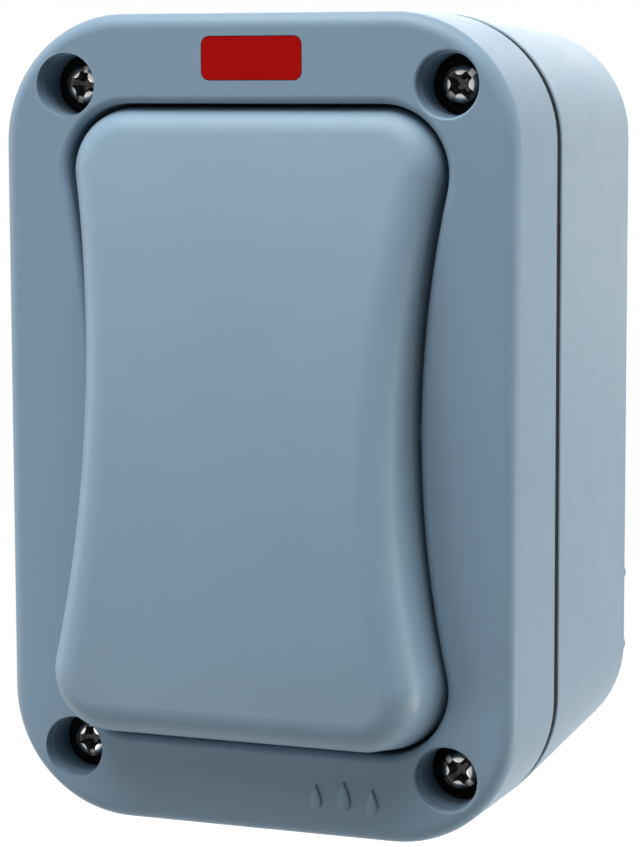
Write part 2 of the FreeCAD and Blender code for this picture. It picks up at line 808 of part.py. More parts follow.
def make_rocker_seal():
    body = new_body("rocker_seal")
    flange = new_sketch(body, "flange", frame_front)
    draw_rounded(flange, s.boot_flange_width, s.boot_flange_height, s.well_corner / 2)
    feature("Pad", flange, s.boot_sheet)
    cap_back = s.dolly_face + s.boot_clearance
    cap_width = s.dolly_width + s.boot_margin * 2
    cap_height = s.dolly_height + s.boot_margin * 2
    for kind, skin, base, level in (
        ("AdditiveLoft", s.boot_sheet, frame_front + s.boot_sheet / 2, cap_back + s.boot_sheet),
        ("SubtractiveLoft", as_size(0), frame_front, cap_back),
    ):
        grow = (skin - s.boot_sheet) * 2
        foot = new_sketch(body, f"{kind}_foot", base)
        draw_rounded(foot, s.boot_base_width + grow, s.boot_base_height + grow, s.well_corner / 2)
        cap = tilted_sketch(body, f"{kind}_cap", level)
        draw_rounded(cap, cap_width + skin * 2, cap_height + skin * 2, s.well_corner / 2 - s.boot_sheet)
        loft(kind, foot, cap)
    return body


# Switch module
def make_switch_frame():
    body = new_body("switch_frame")
    plate = new_sketch(body, "plate", housing_front)
    draw_rounded(plate, s.frame_width, s.frame_height, s.well_corner / 2)
    feature("Pad", plate, s.frame_plate)
    opening = new_sketch(body, "opening", frame_front)
    draw_rounded(opening, s.dolly_width + 3, s.dolly_height + 6, s.well_corner / 4)
    feature("Pocket", opening, s.frame_plate)
    holes = new_sketch(body, "holes", frame_front)
    for side in (-1, 1):
        draw_circle(holes, 0, s.module_screw_offset * side, s.screw_radius + s.screw_clearance)
    feature("Pocket", holes, s.frame_plate)
    return body


def pole_positions():
    """Sides of the poles and ends of the module: supply below, load above."""
    return [(side, end) for side in (-1, 1) for end in (-1, 1)]


def make_switch_housing():
    body = new_body("switch_housing")
    outline = new_sketch(body, "outline", housing_back)
    draw_rounded(outline, s.housing_width, s.housing_height, s.housing_wall)
    feature("Pad", outline, housing_front - housing_back)
    cavity = new_sketch(body, "cavity", housing_front)
    draw_rounded(cavity, s.housing_width - s.housing_wall * 2, s.cavity_height, s.housing_wall / 2)
    feature("Pocket", cavity, housing_front - housing_floor)
    barrier = new_sketch(body, "barrier", housing_floor)
    draw_rectangle(barrier, s.barrier_thickness, s.cavity_height + s.pocket_clearance)
    feature("Pad", barrier, s.barrier_height)

    # Terminal pockets, joined to the cavity by slots for the strips
    pockets = new_sketch(body, "pockets", housing_front)
    slots = new_sketch(body, "slots", housing_front)
    access = new_sketch(body, "screw_access", housing_floor)
    partition = s.block_offset - s.block_length / 2 - s.cavity_height / 2
    for side, end in pole_positions():
        across, up = s.pole_offset * side, s.block_offset * end
        draw_rectangle(pockets, s.block_width + s.pocket_clearance, s.block_length + s.pocket_clearance,
                       across, up)
        draw_rectangle(slots, s.bar_width + s.pocket_clearance * 2, partition + 1,
                       across, (s.cavity_height / 2 + partition / 2) * end)
        draw_circle(access, across, up, s.clamp_screw_radius + s.screw_clearance)
    feature("Pocket", pockets, housing_front - housing_floor)
    feature("Pocket", slots, housing_front - housing_floor)
    feature("Pocket", access, s.housing_base)

    bearings = new_sketch(body, "bearings", 0, "YZ_Plane")
    draw_circle(bearings, -dolly_pivot, 0, s.dolly_pin_radius + s.running_clearance)
    feature("Pocket", bearings, s.housing_width + 2, both=True)
    wires = new_sketch(body, "wire_holes", 0, "XY_Plane")
    for side in (-1, 1):
        draw_circle(wires, s.pole_offset * side, -tunnel_reach, s.tunnel_radius + s.pocket_clearance)
    feature("Pocket", wires, s.housing_height + 2, both=True)
    return body


def make_switch_dolly():
    body = new_body("switch_dolly", dolly_pivot, -s.rocker_tilt)
    inner_width = s.housing_width - s.housing_wall * 2
    for name, radius, length in (
        ("hub", s.dolly_hub_radius, inner_width - s.pocket_clearance * 4),
        ("pins", s.dolly_pin_radius, s.housing_width - s.pocket_clearance * 5),
    ):
        sketch = new_sketch(body, name, 0, "YZ_Plane")
        draw_circle(sketch, 0, 0, radius)
        feature("Pad", sketch, length, both=True)
    wings = new_sketch(body, "wings", 0, "YZ_Plane")
    half = s.dolly_height / 2
    front, tip, root = -s.dolly_face, s.dolly_tip - s.dolly_face, s.dolly_hub_radius - 0.4
    draw_polygon(wings, [(front, -half), (tip, -half), (-1, -root), (-1, root), (tip, half), (front, half)])
    feature("Pad", wings, s.dolly_width, both=True)
    stems = new_sketch(body, "stems", -s.stem_length)
    sockets = new_sketch(body, "sockets", -s.stem_length)
    for side in (-1, 1):
        draw_circle(stems, s.pole_offset * side, 0, s.stem_radius)
        draw_circle(sockets, s.pole_offset * side, 0, s.socket_radius)
    feature("Pad", stems, s.stem_length)
    feature("Pocket", sockets, s.socket_depth, reverse=True)
    return body


def dolly_places():
    """Places of the two pieces that lean with the dolly, one in each socket."""
    lean = Placement(Vector(0, -dolly_pivot.value, 0), Rotation(Vector(1, 0, 0), -s.rocker_tilt.value))
    offset = s.pole_offset.value
    return [lean.multiply(Placement(Vector(side * offset, 0, 0), Rotation())) for side in (-1, 1)]


def make_plungers():
    master = new_body("plunger_master")
    back = s.plunger_reach - 1
    for name, level, radius, length in (
        ("barrel", -back, s.plunger_radius, s.plunger_length),
        ("nose", -s.plunger_reach - s.plunger_tip_radius, s.plunger_tip_radius, s.plunger_tip_radius + 1.5),
    ):
        sketch = new_sketch(master, name, level)
        draw_circle(sketch, 0, 0, radius)
        last = feature("Pad", sketch, length)
    soften(last, s.plunger_tip_radius - 0.02, on_reach(-s.plunger_reach - s.plunger_tip_radius))
    return group("contact_plungers", copies(master, dolly_places()))


def make_springs():
    socket_end = s.stem_length.value - s.socket_depth.value
    plunger_end = s.plunger_reach.value - 1 - s.plunger_length.value
    wire = s.spring_wire.value
    radius = s.socket_radius.value - wire - 0.2
    height = plunger_end - socket_end - wire * 2.4
    helix = Part.makeHelix(height / s.spring_turns.value, height, radius)
    corners = [Vector(radius + wire * math.cos(math.radians(turn)), 0, wire * math.sin(math.radians(turn)))
               for turn in range(0, 361, 60)]
    coil = Part.Wire(helix.Edges).makePipeShell([Part.makePolygon(corners)], True, True)
    coil.Placement = Placement(Vector(0, socket_end + wire * 1.2, 0), Rotation(Vector(1, 0, 0), -90))
    shapes = []
    for place in dolly_places():
        shape = coil.copy()
        shape.Placement = place.multiply(coil.Placement)
        shapes.append(shape)
    return group("plunger_springs", shapes)


# Contact bars and terminals
def make_contact(label, side):
    body = new_body(label, bar_pivot, s.bar_tilt)
    across = s.pole_offset * side
    plate = new_sketch(body, "plate")
    draw_rectangle(plate, s.bar_width, s.bar_length, across, 0)
    feature("Pad", plate, s.bar_thickness)
    groove = new_sketch(body, "groove", 0, "YZ_Plane")
    draw_circle(groove, 0, 0, s.crest_radius + s.running_clearance)
    feature("Pocket", groove, s.housing_width, both=True)
    tip = new_sketch(body, "tip")
    draw_circle(tip, across, s.tip_offset, s.tip_radius)
    feature("Pad", tip, s.tip_height, reverse=True)
    return body


def make_terminal(label, side, end):
    """A clamping block with a strip: to the bar's pivot below, to the fixed contact above."""
    across, up = s.pole_offset * side, s.block_offset * end
    half_w, half_l, half_bar = s.block_width / 2, s.block_length / 2, s.bar_width / 2
    outer, inner = up - half_l * end, s.tip_offset - s.tip_radius - 0.5
    body = block(f"{label}_block", (across - half_w, across + half_w),
                 (housing_floor, housing_floor + s.block_height), (up - half_l, up + half_l))
    strip_z = (outer, s.crest_radius * 2) if end < 0 else (inner, outer)
    solids = [body, block(f"{label}_strip", (across - half_bar, across + half_bar),
                          (housing_floor, strip_front), strip_z)]
    if end < 0:
        solids.append(block(f"{label}_post", (across - half_bar, across + half_bar),
                            (strip_front, bar_pivot), (-s.crest_radius, s.crest_radius)))
        solids.append(rod(f"{label}_crest", "X", across - half_bar, bar_pivot, 0, s.crest_radius, s.bar_width))
    else:
        solids.append(rod(f"{label}_tip", "Y", across, strip_front, s.tip_offset, s.tip_radius,
                          s.fixed_tip_height))
    tunnel = rod(f"{label}_tunnel", "Z", across, tunnel_reach, up - s.block_length, s.tunnel_radius,
                 s.block_length * 2)
    thread = rod(f"{label}_thread", "Y", across, housing_floor, up, s.clamp_screw_radius + 0.05, s.tunnel_rise)
    return cut(label, fuse(f"{label}_solid", *solids), tunnel, thread)


def slotted_screw(name, radius, length, head_radius, head_height, slot):
    """A plain slotted screw: head towards the front, shank towards the wall, seat at its origin."""
    master = new_body(name)
    for part, level, size, depth in (
        ("shank", -length, radius, length),
        ("head", as_size(0), head_radius, head_height),
    ):
        sketch = new_sketch(master, part, level)
        draw_circle(sketch, 0, 0, size)
        feature("Pad", sketch, depth)
    groove = new_sketch(master, "slot", head_height)
    draw_rectangle(groove, head_radius * 2.2, slot)
    feature("Pocket", groove, head_height / 2)
    return master


def make_terminal_screws():
    length = s.tunnel_rise - s.tunnel_radius - s.pocket_clearance + s.housing_base - 0.4
    master = new_body("clamp_master")
    shank = new_sketch(master, "shank")
    draw_circle(shank, 0, 0, s.clamp_screw_radius)
    feature("Pad", shank, length)
    groove = new_sketch(master, "slot")
    draw_rectangle(groove, s.clamp_screw_radius * 2.2, s.crest_radius)
    feature("Pocket", groove, s.strip_thickness, reverse=True)
    start = -(housing_back.value + 0.4)
    places = [Placement(Vector(s.pole_offset.value * side, start, s.block_offset.value * end), Rotation())
              for side, end in pole_positions()]
    return group("terminal_screws", copies(master, places))


def make_module_screws():
    length = s.frame_plate + s.pilot_depth - 0.4
    master = slotted_screw("module_screw_master", s.pilot_radius, length, s.screw_head_radius,
                           s.screw_head_height - 0.4, s.screw_slot_width)
    turn = Rotation(Vector(1, 0, 0), 180)
    places = [Placement(Vector(0, -housing_front.value, s.module_screw_offset.value * side), turn)
              for side in (-1, 1)]
    return group("module_screws", copies(master, places))


# Cover screws and their inserts
def make_cover_screws():
    master = new_body("cover_screw_master")
    for part, level, size, depth in (
        ("shank", -s.screw_length, s.screw_radius, s.screw_length),
        ("head", as_size(0), s.screw_head_radius, s.screw_head_height),
    ):
        sketch = new_sketch(master, part, level)
        draw_circle(sketch, 0, 0, size)
        last = feature("Pad", sketch, depth)
    soften(last, s.screw_head_round, on_reach(s.screw_head_height))
    for part, width, height, depth in (
        ("slot", s.screw_head_radius * 2.2, s.screw_slot_width, s.screw_slot_depth),
        ("cross_a", s.screw_cross_span, s.screw_cross_width, s.screw_cross_depth),
        ("cross_b", s.screw_cross_width, s.screw_cross_span, s.screw_cross_depth),
    ):
        sketch = new_sketch(master, part, s.screw_head_height)
        draw_rectangle(sketch, width, height)
        feature("Pocket", sketch, depth)
    turns = {(-1, 1): 68, (1, 1): -45, (-1, -1): -20, (1, -1): 45}
    places = [Placement(Vector(screw_x.value * side, -screw_seat.value, screw_z.value * end),
                        Rotation(Vector(0, 1, 0), turn)) for (side, end), turn in turns.items()]
    return group("cover_screws", copies(master, places))


def make_screw_inserts():
    master = new_body("insert_master")
    sleeve = new_sketch(master, "sleeve", -s.insert_length)
    draw_circle(sleeve, 0, 0, s.insert_radius)
    draw_circle(sleeve, 0, 0, s.screw_radius + s.running_clearance)
    feature("Pad", sleeve, s.insert_length)
    places = [Placement(Vector(screw_x.value * side, -s.box_depth.value, screw_z.value * end), Rotation())
              for side, end in pole_positions()]
    return group("screw_inserts", copies(master, places))


# Indicator
def make_indicator_lens():
    body = new_body("indicator_lens")
    stem = new_sketch(body, "stem", lens_back)
    draw_rounded(stem, s.lens_width, s.lens_height, s.lens_corner, lens_rise)
    feature("Pad", stem, s.lens_depth)
    flange = new_sketch(body, "flange", inner_face - s.lens_flange_depth)
    draw_rounded(flange, s.lens_width + s.lens_flange * 2, s.lens_height + s.lens_flange,
                 s.lens_corner, lens_rise)
    feature("Pad", flange, s.lens_flange_depth)
    return body


def make_lamp():
    half = s.lamp_length / 2
    tube = rod("lamp_tube", "X", -half, lamp_reach, lens_rise, s.lamp_radius, s.lamp_length)
    caps = rod("lamp_caps", "X", -half - s.lamp_cap, lamp_reach, lens_rise, s.lamp_radius - 0.3,
               s.lamp_length + s.lamp_cap * 2)
    return fuse("indicator_lamp", tube, caps)


def make_lamp_holder():
    half = s.lamp_length / 2
    wall = s.lamp_cap - 0.4
    half_z = s.lens_height / 2 + s.lens_clearance
    back = lamp_reach - s.lamp_radius - 1.6
    limits = (lens_rise - half_z, lens_rise + half_z)
    solid = block("holder_solid", (-half - wall, half + wall), (back, lens_back), limits)
    bay = block("holder_bay", (-half, half), (back + 1.4, lens_back), limits)
    notch = rod("holder_notch", "X", -half * 2, lamp_reach, lens_rise, s.lamp_radius - 0.25, s.lamp_length * 2)
    return cut("lamp_holder", solid, bay, notch)


def make_lamp_leads():
    """Leads from the lamp's caps back behind the well and down into the load terminals."""
    cap_end = s.lamp_length.value / 2 + s.lamp_cap.value
    bend, turn, rad = s.lead_bend.value, s.lead_turn.value, s.lead_radius.value
    top, start, low = lens_rise.value, -lamp_reach.value, -tunnel_reach.value
    end_z = s.block_offset.value - s.block_length.value / 4
    slant = math.sqrt(0.5)
    shapes = []
    for side in (-1, 1):
        begin = side * cap_end
        run = side * (cap_end + bend)
        points = [
            Vector(begin, start, top),
            Vector(begin + side * bend * slant, start + bend * (1 - slant), top),
            Vector(run, start + bend, top),
            Vector(run, low - turn, top),
            Vector(run, low - turn * (1 - slant), top - turn * (1 - slant)),
            Vector(run, low, top - turn),
            Vector(run, low, end_z),
        ]
        path = Part.Wire([
            Part.Arc(points[0], points[1], points[2]).toShape(),
            Part.makeLine(points[2], points[3]),
            Part.Arc(points[3], points[4], points[5]).toShape(),
            Part.makeLine(points[5], points[6]),
        ])
        ring = Part.Wire([Part.makeCircle(rad, points[0], Vector(1, 0, 0))])
        shapes.append(path.makePipeShell([ring], True, True))
    return group("lamp_leads", shapes)


# Earth terminal on the floor of the box
def make_earth_terminal():
    half = s.earth_side / 2
    top = s.box_floor + s.earth_height
    solid = block("earth_solid", (-earth_offset - half, half - earth_offset), (s.box_floor, top), (-half, half))
    tunnel = rod("earth_tunnel", "Z", -earth_offset, s.box_floor + s.earth_height / 2, -s.earth_side,
                 s.tunnel_radius, s.earth_side * 2)
    thread = rod("earth_thread", "Y", -earth_offset, s.box_floor + s.earth_height / 2, 0,
                 s.clamp_screw_radius + 0.05, s.earth_height)
    return cut("earth_terminal", solid, tunnel, thread)


def make_earth_screw():
    length = s.earth_height / 2 - s.tunnel_radius - s.pocket_clearance
    master = slotted_screw("earth_screw_master", s.clamp_screw_radius, length, s.screw_head_radius,
                           s.screw_head_height - 0.4, s.screw_slot_width)
    seat = -(s.box_floor.value + s.earth_height.value)
    return group("earth_screw", copies(master, [Placement(Vector(-earth_offset.value, seat, 0), Rotation())]))


pieces = [
    make_rear_box(),
    make_cover_gasket(),
    make_front_cover(),
    make_rocker(),
    make_rocker_seal(),
    make_switch_frame(),
    make_switch_housing(),
    make_switch_dolly(),
    make_plungers(),
    make_springs(),
    make_contact("line_contact", -1),
    make_contact("neutral_contact", 1),
    make_terminal("line_supply_terminal", -1, -1),
    make_terminal("line_load_terminal", -1, 1),
    make_terminal("neutral_supply_terminal", 1, -1),
    make_terminal("neutral_load_terminal", 1, 1),
    make_terminal_screws(),
    make_module_screws(),
    make_cover_screws(),
    make_screw_inserts(),
    make_indicator_lens(),
    make_lamp(),
    make_lamp_holder(),
    make_lamp_leads(),
    make_earth_terminal(),
    make_earth_screw(),
]
doc.recompute()

for item in doc.Objects:
    if "Invalid" in item.State or "Error" in item.State:
        raise RuntimeError(f"{item.Name} did not build: {item.State}")
os.makedirs("parts", exist_ok=True)
for piece in pieces:
    if piece.Shape.isNull() or not piece.Shape.isValid():
        raise RuntimeError(f"{piece.Label} has no valid shape")
    piece.Shape.exportStep(f"parts/{piece.Label}.step")
    print(piece.Label, len(piece.Shape.Solids), round(piece.Shape.Volume, 1))
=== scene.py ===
import json
import math

import bmesh
import bpy
from mathutils import Matrix, Vector


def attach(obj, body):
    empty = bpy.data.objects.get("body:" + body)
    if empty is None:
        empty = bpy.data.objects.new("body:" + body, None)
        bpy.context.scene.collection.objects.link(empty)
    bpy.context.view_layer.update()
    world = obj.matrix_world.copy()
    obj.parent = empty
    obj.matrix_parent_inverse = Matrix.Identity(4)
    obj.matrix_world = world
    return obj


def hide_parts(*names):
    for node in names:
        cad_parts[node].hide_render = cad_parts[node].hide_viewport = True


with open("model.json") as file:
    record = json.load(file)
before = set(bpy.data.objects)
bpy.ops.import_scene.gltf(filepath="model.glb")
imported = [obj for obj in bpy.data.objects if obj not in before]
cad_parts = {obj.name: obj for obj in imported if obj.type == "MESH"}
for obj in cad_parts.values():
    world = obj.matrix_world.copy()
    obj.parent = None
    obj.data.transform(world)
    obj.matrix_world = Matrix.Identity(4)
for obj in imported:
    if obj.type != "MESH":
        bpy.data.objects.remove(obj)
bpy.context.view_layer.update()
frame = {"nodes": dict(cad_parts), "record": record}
MM = 0.001

# Camera, as fitted to the picture; the focal length and height are in pixels
FOCAL_PIXELS, PICTURE_HEIGHT, SENSOR = 2937.0, 847.0, 36.0
YAW, PITCH, ROLL = math.radians(21.48), math.radians(6.93), math.radians(0.19)
OFFSET = Vector((14.78, 489.0, 6.845)) * MM

# Cover screws, in millimetres: places from the centre, reach of the seats, and each head's turn
SCREW_ACROSS, SCREW_UP, SCREW_SEAT = 29.65, 49.7, 59.0
SCREW_TURNS = {(-1, 1): -78, (1, 1): -45, (-1, -1): 87, (1, -1): 45}


def make_camera():
    yaw = Matrix.Rotation(-YAW, 3, "Z")
    pitch = Matrix.Rotation(PITCH, 3, "X")
    roll = Matrix.Rotation(-ROLL, 3, "Y")
    axes = roll @ pitch @ yaw
    right, forward, up = axes[0], axes[1], axes[2]
    data = bpy.data.cameras.new("camera")
    data.sensor_width = SENSOR
    data.lens = FOCAL_PIXELS / PICTURE_HEIGHT * SENSOR
    data.clip_start = 0.02
    camera = bpy.data.objects.new("camera", data)
    place = axes.transposed() @ -OFFSET
    camera.matrix_world = Matrix((
        (right.x, up.x, -forward.x, place.x),
        (right.y, up.y, -forward.y, place.y),
        (right.z, up.z, -forward.z, place.z),
        (0, 0, 0, 1),
    ))
    bpy.context.scene.collection.objects.link(camera)
    bpy.context.scene.camera = camera


# Materials
class Nodes:
    """A short way to write a node material."""

    def __init__(self, name):
        self.material = bpy.data.materials.new(name)
        self.material.use_nodes = True
        self.tree = self.material.node_tree
        self.shader = self.tree.nodes["Principled BSDF"]
        self.place = self.add("ShaderNodeTexCoord").outputs["Object"]

    def add(self, kind, **values):
        node = self.tree.nodes.new(kind)
        for key, value in values.items():
            setattr(node, key, value)
        return node

    def link(self, out, into):
        self.tree.links.new(out, into)

    def noise(self, size_mm, detail):
        node = self.add("ShaderNodeTexNoise")
        self.link(self.place, node.inputs["Vector"])
        node.inputs["Scale"].default_value = 1.0 / (size_mm * MM)
        node.inputs["Detail"].default_value = detail
        node.inputs["Roughness"].default_value = 0.5
        return node.outputs["Fac"]

    def spread(self, value, low, high, start=0.3, end=0.7):
        """Maps start to end, the usual span of a noise, onto low to high."""
        node = self.add("ShaderNodeMapRange")
        self.link(value, node.inputs["Value"])
        limits = {"From Min": start, "From Max": end, "To Min": low, "To Max": high}
        for key, number in limits.items():
            node.inputs[key].default_value = number
        return node.outputs["Result"]

    def tint(self, value, dark, light):
        node = self.add("ShaderNodeMix", data_type="RGBA")
        self.link(value, node.inputs["Factor"])
        node.inputs["A"].default_value = (*dark, 1)
        node.inputs["B"].default_value = (*light, 1)
        return node.outputs["Result"]

    def mottle(self, colour, size_mm, detail, darkest, lightest):
        """A colour that drifts between two shades of itself."""
        drift = self.spread(self.noise(size_mm, detail), 0, 1)
        return self.tint(drift, shade(colour, darkest), shade(colour, lightest))

    def bump(self, height, depth_mm, strength):
        node = self.add("ShaderNodeBump")
        node.inputs["Strength"].default_value = strength
        node.inputs["Distance"].default_value = depth_mm * MM
        self.link(height, node.inputs["Height"])
        self.link(node.outputs["Normal"], self.shader.inputs["Normal"])

    def feed(self, key, value):
        self.link(value, self.shader.inputs[key])

    def set(self, **values):
        for key, value in values.items():
            self.shader.inputs[key.replace("_", " ")].default_value = value


def shade(colour, amount):
    return tuple(part * amount for part in colour)


def moulded_plastic(name, colour, roughness):
    """Satin moulded plastic: slow drift of tone, fine grain, a little change of gloss."""
    n = Nodes(name)
    n.feed("Base Color", n.mottle(colour, 14, 2, 0.985, 1.015))
    n.feed("Roughness", n.spread(n.noise(5, 4), roughness - 0.03, roughness + 0.03))
    n.bump(n.noise(0.35, 2), 0.006, 0.35)
    n.set(IOR=1.5, Specular_IOR_Level=0.18)
    return n.material


def rubber(name, colour):
    """Matt rubber with a fine grain."""
    n = Nodes(name)
    n.feed("Base Color", n.mottle(colour, 3, 4, 0.8, 1.3))
    n.feed("Roughness", n.spread(n.noise(0.8, 3), 0.7, 0.85))
    n.bump(n.noise(0.25, 3), 0.02, 0.5)
    n.set(Specular_IOR_Level=0.08)
    return n.material


def metal(name, colour, roughness):
    """Turned or pressed metal with fine working marks."""
    n = Nodes(name)
    n.feed("Base Color", n.mottle(colour, 1.2, 4, 0.8, 1.1))
    n.feed("Roughness", n.spread(n.noise(0.6, 4), roughness - 0.06, roughness + 0.08))
    n.bump(n.noise(0.25, 3), 0.006, 0.4)
    n.set(Metallic=1.0)
    return n.material


def driven_steel(name, bright, dark, low, high):
    """Plated screw steel with painted shade: dark and dull below in the recess, brightening towards
    the top faces.
    Low and high are the reaches, in millimetres, between which it brightens."""
    n = Nodes(name)
    split = n.add("ShaderNodeSeparateXYZ")
    n.link(n.place, split.inputs[0])
    # Painted shade: the colour darkens with depth into the recess, from the bright steel to the
    # shade colour.
    rise = n.spread(split.outputs["Y"], 0, 1, -low * MM, -high * MM)
    mix = n.add("ShaderNodeMix", data_type="RGBA")
    n.link(rise, mix.inputs["Factor"])
    n.link(n.mottle(dark, 0.5, 4, 0.6, 1.5), mix.inputs["A"])
    n.link(n.mottle(bright, 0.9, 4, 0.85, 1.08), mix.inputs["B"])
    n.feed("Base Color", mix.outputs["Result"])
    n.feed("Roughness", n.spread(rise, 0.5, 0.24, 0, 1))
    n.bump(n.noise(0.2, 3), 0.008, 0.4)
    n.set(Metallic=1.0)
    return n.material


def lens_plastic(name, colour):
    """Deep red lens with a faint moulded flow in its tone."""
    n = Nodes(name)
    n.feed("Base Color", n.mottle(colour, 6, 2, 0.96, 1.04))
    n.feed("Roughness", n.spread(n.noise(2, 3), 0.22, 0.3))
    n.bump(n.noise(1.5, 2), 0.004, 0.2)
    n.set(IOR=1.49, Specular_IOR_Level=0.06)
    return n.material


def glass(name, colour):
    """Clear glass with a slight change of tone and polish."""
    n = Nodes(name)
    n.feed("Base Color", n.mottle(colour, 2, 2, 0.95, 1.0))
    n.feed("Roughness", n.spread(n.noise(1, 2), 0.04, 0.1))
    n.set(IOR=1.5, Transmission_Weight=0.9)
    return n.material


BODY_COLOUR = (0.185, 0.270, 0.350)
ROCKER_COLOUR = (0.195, 0.282, 0.362)
# The second screw colour is painted shade, the dark the steel takes deep in its recess.
BRIGHT_STEEL, RECESS_SHADE_STEEL = (0.50, 0.50, 0.49), (0.075, 0.075, 0.070)

looks = {
    "housing_plastic": moulded_plastic("housing_plastic", BODY_COLOUR, 0.42),
    "rocker_plastic": moulded_plastic("rocker_plastic", ROCKER_COLOUR, 0.40),
    "seal_rubber": rubber("seal_rubber", (0.007, 0.007, 0.008)),
    "lens_red": lens_plastic("lens_red", (0.345, 0.0022, 0.0022)),
    "screw_steel": metal("screw_steel", (0.36, 0.34, 0.31), 0.30),
    "driven_steel": driven_steel("driven_steel", BRIGHT_STEEL, RECESS_SHADE_STEEL, 60.0, 61.3),
    "terminal_brass": metal("terminal_brass", (0.72, 0.52, 0.22), 0.28),
    "module_black": moulded_plastic("module_black", (0.018, 0.018, 0.020), 0.45),
    "module_white": moulded_plastic("module_white", (0.72, 0.71, 0.68), 0.40),
    "lamp_glass": glass("lamp_glass", (0.98, 0.86, 0.78)),
    "lead_sleeve": rubber("lead_sleeve", (0.02, 0.03, 0.16)),
    "spring_steel": metal("spring_steel", (0.55, 0.55, 0.56), 0.22),
}


def dress_nodes():
    for row in frame["record"]["subparts"]:
        node = frame["nodes"][row["node"]]
        if not node.material_slots:
            node.data.materials.append(None)
        for slot in node.material_slots:
            slot.material = looks[row["material_slot"]]


# Ways to make a piece; sizes are in millimetres
def linked(name, mesh):
    item = bpy.data.objects.new(name, mesh)
    bpy.context.scene.collection.objects.link(item)
    return item


def mesh_object(name, verts, faces):
    mesh = bpy.data.meshes.new(name)
    mesh.from_pydata([Vector(v) * MM for v in verts], [], faces)
    mesh.validate()
    bm = bmesh.new()
    bm.from_mesh(mesh)
    bmesh.ops.remove_doubles(bm, verts=bm.verts, dist=1e-7)
    bmesh.ops.recalc_face_normals(bm, faces=bm.faces)
    bm.to_mesh(mesh)
    bm.free()
    return linked(name, mesh)


def skin(rows, steps, first=0, hollow=False):
    """Faces over rows of points that run round: quads between them, and an end on each side.
    A hollow skin has no ends, and its last row meets its first."""
    faces = []
    for row in range(rows if hollow else rows - 1):
        here, above = first + row * steps, first + (row + 1) % rows * steps
        for n in range(steps):
            m = (n + 1) % steps
            faces.append((here + n, here + m, above + m, above + n))
    if not hollow:
        last = first + (rows - 1) * steps
        faces.append(tuple(first + n for n in range(steps)))
        faces.append(tuple(last + n for n in reversed(range(steps))))
    return faces


def lathe(name, profile, steps, hollow=False):
    """A closed turned solid about the axis that points to the front; profile is (radius, reach).
    A hollow one is a ring, whose profile runs round to its start."""
    verts = []
    for radius, reach in profile:
        for n in range(steps):
            angle = math.tau * n / steps
            verts.append((radius * math.cos(angle), -reach, radius * math.sin(angle)))
    return mesh_object(name, verts, skin(len(profile), steps, hollow=hollow))


def wedge(name, top_half, bottom_half, top, bottom):
    """A four-sided tapered cutter between two reaches; halves are (across, up)."""
    verts = [(x * half[0], -reach, z * half[1])
             for half, reach in ((top_half, top), (bottom_half, bottom))
             for x, z in ((-1, -1), (1, -1), (1, 1), (-1, 1))]
    faces = [(0, 1, 2, 3), (7, 6, 5, 4)]
    faces += [(0, 4, 5, 1), (1, 5, 6, 2), (2, 6, 7, 3), (3, 7, 4, 0)]
    return mesh_object(name, verts, faces)


def cross_cutter(name, top, levels):
    """A cutter for a cross recess with round corners; levels are (offset, scale) from the top."""
    slot_arm, other_arm = 1.95, 2.55
    half, corner_radius, corner_steps = 0.70, 0.85, 6
    corner = []
    for n in range(corner_steps + 1):
        angle = math.radians(270 - 90 * n / corner_steps)
        corner.append((half + corner_radius * (1 + math.cos(angle)),
                       half + corner_radius * (1 + math.sin(angle))))
    outline = []
    for c, s, arm in ((1, 0, slot_arm), (0, 1, other_arm), (-1, 0, slot_arm), (0, -1, other_arm)):
        points = [(arm, -half), (arm, half)] + corner
        outline += [(c * x - s * z, s * x + c * z) for x, z in points]
    verts = [(x * scale, -(top + offset), z * scale)
             for offset, scale in levels for x, z in outline]
    return mesh_object(name, verts, skin(len(levels), len(outline)))


def threaded_shank(name, core, crest, pitch, length, steps):
    """A screw thread as a grid that winds once round for each pitch and fades at its tip."""
    per_turn, tip_scale, ridge_slope = 6, 0.82, 2.6
    verts = []
    rows = int(length / pitch * per_turn)
    for row in range(rows + 1):
        level = -length * row / rows
        fade = min(1.0, (rows - row) / (per_turn * 1.5))
        for n in range(steps):
            turn = (level / pitch + n / steps) % 1.0
            ridge = max(0.0, 1.0 - abs(turn - 0.5) * ridge_slope)
            taper = tip_scale + (1 - tip_scale) * fade
            radius = (core + (crest - core) * ridge) * taper
            angle = math.tau * n / steps
            verts.append((radius * math.cos(angle), -level, radius * math.sin(angle)))
    return mesh_object(name, verts, skin(rows + 1, steps))


def applied(item):
    """Makes an object's modifiers permanent."""
    graph = bpy.context.evaluated_depsgraph_get()
    mesh = bpy.data.meshes.new_from_object(item.evaluated_get(graph))
    item.modifiers.clear()
    item.data = mesh


def cut_away(item, cutters):
    for cutter in cutters:
        step = item.modifiers.new("cut", "BOOLEAN")
        step.operation = "DIFFERENCE"
        step.solver = "EXACT"
        step.object = cutter
    applied(item)
    for cutter in cutters:
        bpy.data.objects.remove(cutter)


def smooth(item, degrees):
    item.data.polygons.foreach_set("use_smooth", [True] * len(item.data.polygons))
    item.data.set_sharp_from_angle(angle=math.radians(degrees))


def at_screws(name, sources, turned):
    """One piece from copies of the sources at each screw's seat, turned with its head or not."""
    bm = bmesh.new()
    for source in sources:
        bm.from_mesh(source.data)
        bpy.data.objects.remove(source)
    master = bpy.data.meshes.new(name + "_master")
    bm.to_mesh(master)
    bm.free()
    bm = bmesh.new()
    for (side, end), turn in SCREW_TURNS.items():
        seat = Vector((SCREW_ACROSS * side, -SCREW_SEAT, SCREW_UP * end)) * MM
        place = Matrix.Translation(seat)
        if turned:
            place = place @ Matrix.Rotation(math.radians(turn), 4, "Y")
        one = master.copy()
        one.transform(place)
        bm.from_mesh(one)
        bpy.data.meshes.remove(one)
    mesh = bpy.data.meshes.new(name)
    bm.to_mesh(mesh)
    bm.free()
    return linked(name, mesh)


